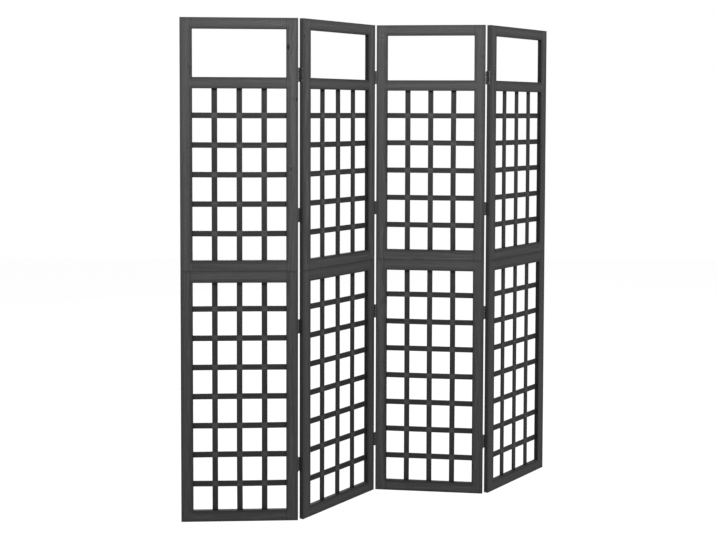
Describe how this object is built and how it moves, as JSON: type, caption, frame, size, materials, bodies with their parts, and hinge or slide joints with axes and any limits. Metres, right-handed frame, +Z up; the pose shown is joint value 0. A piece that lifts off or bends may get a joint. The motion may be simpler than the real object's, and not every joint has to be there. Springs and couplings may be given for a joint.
{
  "type": "trellis folding screen",
  "caption": "Free-standing zigzag folding screen of tall hinged softwood lattice panels stained charcoal black, each with an open window above a square trellis.",
  "frame": {"origin": "on the floor, under the middle of the bounding box of the screen as it stands in its zigzag", "axes": "+X to the right along the pictured front, +Y away from the viewer, +Z up"},
  "size_m": [1.3792, 0.6636, 1.8],
  "materials": {
    "stained_softwood": "charcoal black stain under a thin satin lacquer, grain showing",
    "plain_beech": "unfinished dowel",
    "black_hinge_steel": "black painted pressed steel, semi-gloss",
    "black_screw_steel": "black oxide screws, satin"
  },
  "bodies": {
    "panel_1": {"panel_1_lower_left_stile": "stained_softwood", "panel_1_lower_right_stile": "stained_softwood", "panel_1_lower_rails": "stained_softwood", "panel_1_lower_upright_bars": "stained_softwood", "panel_1_lower_cross_bars": "stained_softwood", "panel_1_upper_left_stile": "stained_softwood", "panel_1_upper_right_stile": "stained_softwood", "panel_1_upper_rails": "stained_softwood", "panel_1_upper_upright_bars": "stained_softwood", "panel_1_upper_cross_bars": "stained_softwood", "panel_1_dowels": "plain_beech", "fold_1_left_leaves": "black_hinge_steel", "fold_1_left_screws": "black_screw_steel", "fold_1_pins": "black_hinge_steel"},
    "panel_2": {"panel_2_lower_left_stile": "stained_softwood", "panel_2_lower_right_stile": "stained_softwood", "panel_2_lower_rails": "stained_softwood", "panel_2_lower_upright_bars": "stained_softwood", "panel_2_lower_cross_bars": "stained_softwood", "panel_2_upper_left_stile": "stained_softwood", "panel_2_upper_right_stile": "stained_softwood", "panel_2_upper_rails": "stained_softwood", "panel_2_upper_upright_bars": "stained_softwood", "panel_2_upper_cross_bars": "stained_softwood", "panel_2_dowels": "plain_beech", "fold_1_right_leaves": "black_hinge_steel", "fold_1_right_screws": "black_screw_steel", "fold_2_left_leaves": "black_hinge_steel", "fold_2_left_screws": "black_screw_steel", "fold_2_pins": "black_hinge_steel"},
    "panel_3": {"panel_3_lower_left_stile": "stained_softwood", "panel_3_lower_right_stile": "stained_softwood", "panel_3_lower_rails": "stained_softwood", "panel_3_lower_upright_bars": "stained_softwood", "panel_3_lower_cross_bars": "stained_softwood", "panel_3_upper_left_stile": "stained_softwood", "panel_3_upper_right_stile": "stained_softwood", "panel_3_upper_rails": "stained_softwood", "panel_3_upper_upright_bars": "stained_softwood", "panel_3_upper_cross_bars": "stained_softwood", "panel_3_dowels": "plain_beech", "fold_2_right_leaves": "black_hinge_steel", "fold_2_right_screws": "black_screw_steel", "fold_3_left_leaves": "black_hinge_steel", "fold_3_left_screws": "black_screw_steel", "fold_3_pins": "black_hinge_steel"},
    "panel_4": {"panel_4_lower_left_stile": "stained_softwood", "panel_4_lower_right_stile": "stained_softwood", "panel_4_lower_rails": "stained_softwood", "panel_4_lower_upright_bars": "stained_softwood", "panel_4_lower_cross_bars": "stained_softwood", "panel_4_upper_left_stile": "stained_softwood", "panel_4_upper_right_stile": "stained_softwood", "panel_4_upper_rails": "stained_softwood", "panel_4_upper_upright_bars": "stained_softwood", "panel_4_upper_cross_bars": "stained_softwood", "panel_4_dowels": "plain_beech", "fold_3_right_leaves": "black_hinge_steel", "fold_3_right_screws": "black_screw_steel"}
  },
  "joints": [
    {"name": "fold_1", "type": "hinge", "parent": "panel_1", "child": "panel_2", "pos_m": [-0.27272, -0.29019, 0.9], "axis": [0, 0, 1], "range_deg": [-49.9, 130.1]},
    {"name": "fold_2", "type": "hinge", "parent": "panel_2", "child": "panel_3", "pos_m": [-0.00177, 0.0306, 0.9], "axis": [0, 0, 1], "range_deg": [-120.5, 59.5]},
    {"name": "fold_3", "type": "hinge", "parent": "panel_3", "child": "panel_4", "pos_m": [0.41735, 0.00486, 0.9], "axis": [0, 0, 1], "range_deg": [-58.6, 121.4]}
  ]
}
